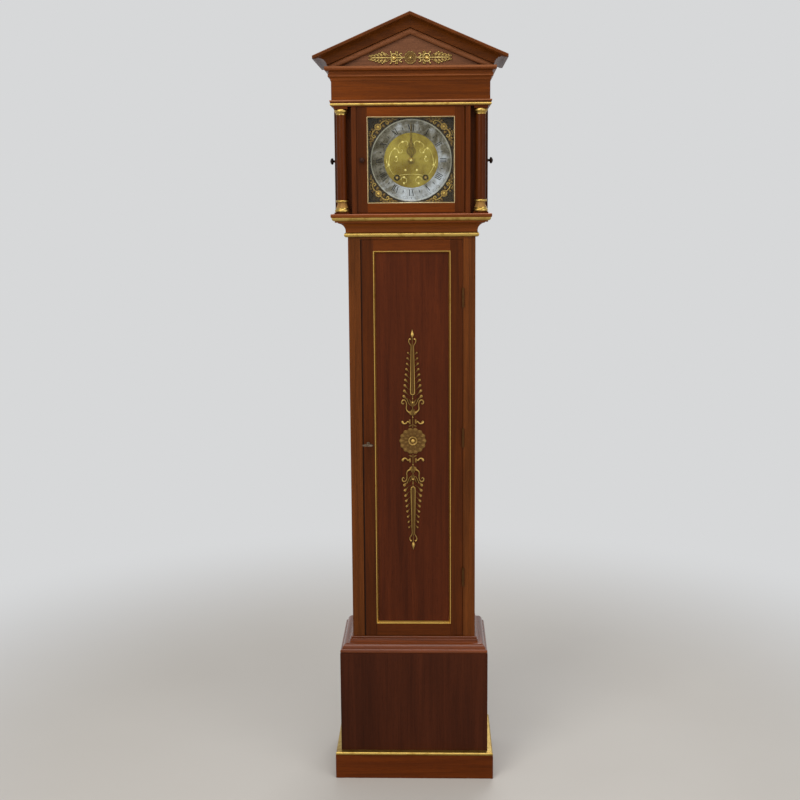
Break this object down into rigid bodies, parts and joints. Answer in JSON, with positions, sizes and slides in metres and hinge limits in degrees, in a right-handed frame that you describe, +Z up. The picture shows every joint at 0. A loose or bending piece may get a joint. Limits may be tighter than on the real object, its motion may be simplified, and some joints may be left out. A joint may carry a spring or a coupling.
{
  "type": "longcase clock",
  "caption": "Tall longcase clock with a columned hood under a triangular pediment, square glazed dial door, long trunk door and box base.",
  "frame": {"origin": "on the floor under the middle of the clock's bounding box", "axes": "+Z up along the clock's height, -Y towards the viewer (dial side), +X to the viewer's right"},
  "size_m": [0.49, 0.275, 2.0376],
  "materials": {
    "polished_wood": "red-brown polished wood",
    "dark_wood": "dark red-brown polished wood",
    "inner_wood": "plain unpolished wood",
    "gilt": "gilt",
    "brass": "polished",
    "silvered": "silvered, engraved",
    "dark_plate": "dark lacquer",
    "steel": "bright",
    "blued_steel": "blued",
    "glass": "clear",
    "iron": "painted",
    "gut": "gut line"
  },
  "bodies": {
    "case": {"plinth_boards": "polished_wood", "base_boards": "dark_wood", "base_top_moulding": "polished_wood", "trunk_boards": "polished_wood", "backboard": "inner_wood", "throat_cove_moulding": "polished_wood", "hood_base_moulding": "polished_wood", "hood_front_frame": "polished_wood", "hood_side_frames": "polished_wood", "columns": "polished_wood", "column_mounts": "gilt", "architrave_moulding": "polished_wood", "frieze_boards": "polished_wood", "cornice_moulding": "polished_wood", "raking_cornice": "dark_wood", "tympanum_board": "polished_wood", "tympanum_ornament": "gilt", "roof_boards": "inner_wood", "gilt_beads": "gilt", "case_hinges": "brass", "dial_plate": "dark_plate", "chapter_ring": "silvered", "dial_centre_disc": "brass", "dial_spandrels": "brass", "seat_board": "inner_wood", "movement_frame": "brass", "bell": "brass"},
    "trunk_door": {"trunk_door_frame": "polished_wood", "trunk_door_panel": "polished_wood", "trunk_door_gilt_bead": "gilt", "trunk_door_ornament": "gilt", "trunk_door_hinges": "brass", "trunk_door_lock": "steel"},
    "key": {"key": "steel"},
    "lock_bolt": {"lock_bolt": "steel"},
    "hood_door": {"hood_door_frame": "polished_wood", "hood_door_glass": "glass", "hood_door_gilt_bead": "gilt"},
    "left_side_door": {"left_side_door": "polished_wood"},
    "right_side_door": {"right_side_door": "polished_wood"},
    "minute_train": {"centre_wheel": "brass", "minute_hand": "blued_steel"},
    "hour_train": {"hour_wheel": "brass", "hour_hand": "blued_steel"},
    "minute_wheel": {"minute_wheel": "brass"},
    "third_wheel": {"third_wheel": "brass"},
    "escape_wheel": {"escape_wheel": "brass"},
    "going_great_wheel": {"going_great_wheel": "brass"},
    "going_barrel": {"going_barrel": "brass"},
    "strike_great_wheel": {"strike_great_wheel": "brass"},
    "strike_barrel": {"strike_barrel": "brass"},
    "strike_hammer": {"strike_hammer": "steel"},
    "anchor": {"anchor": "steel"},
    "pendulum": {"pendulum_rod": "steel", "pendulum_bob": "brass"},
    "rating_nut": {"rating_nut": "brass"},
    "going_weight": {"going_weight": "iron", "going_line": "gut"},
    "strike_weight": {"strike_weight": "iron", "strike_line": "gut"}
  },
  "joints": [
    {"name": "trunk_door_hinge", "type": "hinge", "parent": "case", "child": "trunk_door", "pos_m": [0.134, -0.0667, 0.945], "axis": [0, 0, 1], "range_deg": [0, 115]},
    {"name": "key_turn", "type": "hinge", "parent": "trunk_door", "child": "key", "pos_m": [-0.119, -0.05, 0.93], "axis": [0, -1, 0], "range_deg": [0, 60]},
    {"name": "bolt_slide", "type": "slide", "parent": "trunk_door", "child": "lock_bolt", "axis": [-1, 0, 0], "range_m": [0, 0.008]},
    {"name": "hood_door_hinge", "type": "hinge", "parent": "case", "child": "hood_door", "pos_m": [0.1335, -0.0865, 1.6758], "axis": [0, 0, 1], "range_deg": [0, 95]},
    {"name": "left_side_door_hinge", "type": "hinge", "parent": "case", "child": "left_side_door", "pos_m": [-0.193, 0.1, 1.676], "axis": [0, 0, -1], "range_deg": [0, 95]},
    {"name": "right_side_door_hinge", "type": "hinge", "parent": "case", "child": "right_side_door", "pos_m": [0.193, 0.1, 1.676], "axis": [0, 0, 1], "range_deg": [0, 95]},
    {"name": "minute_turn", "type": "hinge", "parent": "case", "child": "minute_train", "pos_m": [0, -0.03, 1.675], "axis": [0, 1, 0], "continuous": true},
    {"name": "hour_turn", "type": "hinge", "parent": "case", "child": "hour_train", "pos_m": [0, -0.055, 1.675], "axis": [0, 1, 0], "continuous": true},
    {"name": "minute_wheel_turn", "type": "hinge", "parent": "case", "child": "minute_wheel", "pos_m": [0, -0.04, 1.648], "axis": [0, 1, 0], "continuous": true},
    {"name": "great_wheel_turn", "type": "hinge", "parent": "case", "child": "going_great_wheel", "pos_m": [0.037, -0.0265, 1.631], "axis": [0, 1, 0], "continuous": true},
    {"name": "third_wheel_turn", "type": "hinge", "parent": "case", "child": "third_wheel", "pos_m": [0.00918, 0, 1.69696], "axis": [0, 1, 0], "continuous": true},
    {"name": "escape_wheel_turn", "type": "hinge", "parent": "case", "child": "escape_wheel", "pos_m": [0, -0.01, 1.717], "axis": [0, 1, 0], "continuous": true},
    {"name": "strike_wheel_turn", "type": "hinge", "parent": "case", "child": "strike_great_wheel", "pos_m": [-0.037, 0.0125, 1.631], "axis": [0, 1, 0], "continuous": true},
    {"name": "hammer_swing", "type": "hinge", "parent": "case", "child": "strike_hammer", "pos_m": [-0.032, 0, 1.72], "axis": [0, 1, 0], "range_deg": [0, 15], "stiffness_Nm_per_rad": 0.02},
    {"name": "pendulum_swing", "type": "hinge", "parent": "case", "child": "pendulum", "pos_m": [0, 0.05, 1.745], "axis": [0, 1, 0], "range_deg": [-3, 3]},
    {"name": "anchor_swing", "type": "hinge", "parent": "case", "child": "anchor", "pos_m": [0, 0, 1.745], "axis": [0, 1, 0], "range_deg": [-3, 3]},
    {"name": "rating_nut_turn", "type": "hinge", "parent": "pendulum", "child": "rating_nut", "pos_m": [0, 0.05, 0.661], "axis": [0, 0, 1], "continuous": true},
    {"name": "going_weight_slide", "type": "slide", "parent": "case", "child": "going_weight", "axis": [0, 0, 1], "range_m": [-0.75, 0.38], "deforming": ["going_line"]},
    {"name": "going_barrel_turn", "type": "hinge", "parent": "case", "child": "going_barrel", "pos_m": [0.037, 0, 1.631], "axis": [0, 1, 0], "range_deg": [-2395, 1215]},
    {"name": "strike_weight_slide", "type": "slide", "parent": "case", "child": "strike_weight", "axis": [0, 0, 1], "range_m": [-0.75, 0.38], "deforming": ["strike_line"]},
    {"name": "strike_barrel_turn", "type": "hinge", "parent": "case", "child": "strike_barrel", "pos_m": [-0.037, 0, 1.631], "axis": [0, 1, 0], "range_deg": [-2395, 1215]}
  ],
  "couplings": [
    {"joint": "bolt_slide", "follows": "key_turn", "m_per_rad": 0.007639},
    {"joint": "hour_turn", "follows": "minute_turn", "ratio": 0.083333},
    {"joint": "minute_wheel_turn", "follows": "minute_turn", "ratio": -0.33333},
    {"joint": "great_wheel_turn", "follows": "minute_turn", "ratio": -0.083333},
    {"joint": "third_wheel_turn", "follows": "minute_turn", "ratio": -7.5},
    {"joint": "escape_wheel_turn", "follows": "minute_turn", "ratio": 60},
    {"joint": "anchor_swing", "follows": "pendulum_swing", "ratio": 1},
    {"joint": "going_barrel_turn", "follows": "going_weight_slide", "rad_per_m": 55.556},
    {"joint": "strike_barrel_turn", "follows": "strike_weight_slide", "rad_per_m": 55.556}
  ]
}
